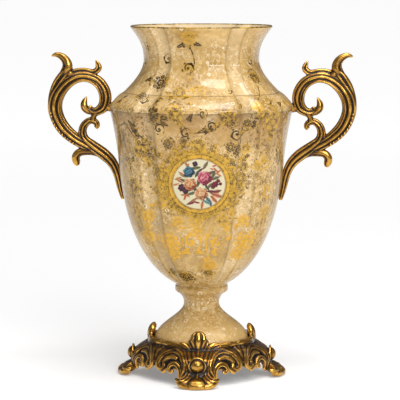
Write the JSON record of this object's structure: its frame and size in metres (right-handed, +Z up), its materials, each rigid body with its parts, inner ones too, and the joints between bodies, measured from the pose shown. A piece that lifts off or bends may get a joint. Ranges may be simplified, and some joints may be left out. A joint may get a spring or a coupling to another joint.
{
  "type": "two-handled footed vase",
  "caption": "Tall two-handled urn vase with a flared neck, a sharp shoulder and four corner flutes, on a raised scrolled stand with scrolled handles.",
  "frame": {"origin": "on the ground under the middle of the stand", "axes": "+Z up, the front panel with the medallion faces -Y, the handles lie along X"},
  "size_m": [0.3962, 0.2336, 0.45],
  "materials": {
    "lacquered_body": "gloss lacquer over a cream and gold pattern",
    "antique_gilt": "antique gold with dark hollows"
  },
  "bodies": {
    "root": {"vase_body": "lacquered_body", "handle_left": "antique_gilt", "handle_right": "antique_gilt", "stand": "antique_gilt"}
  },
  "joints": []
}
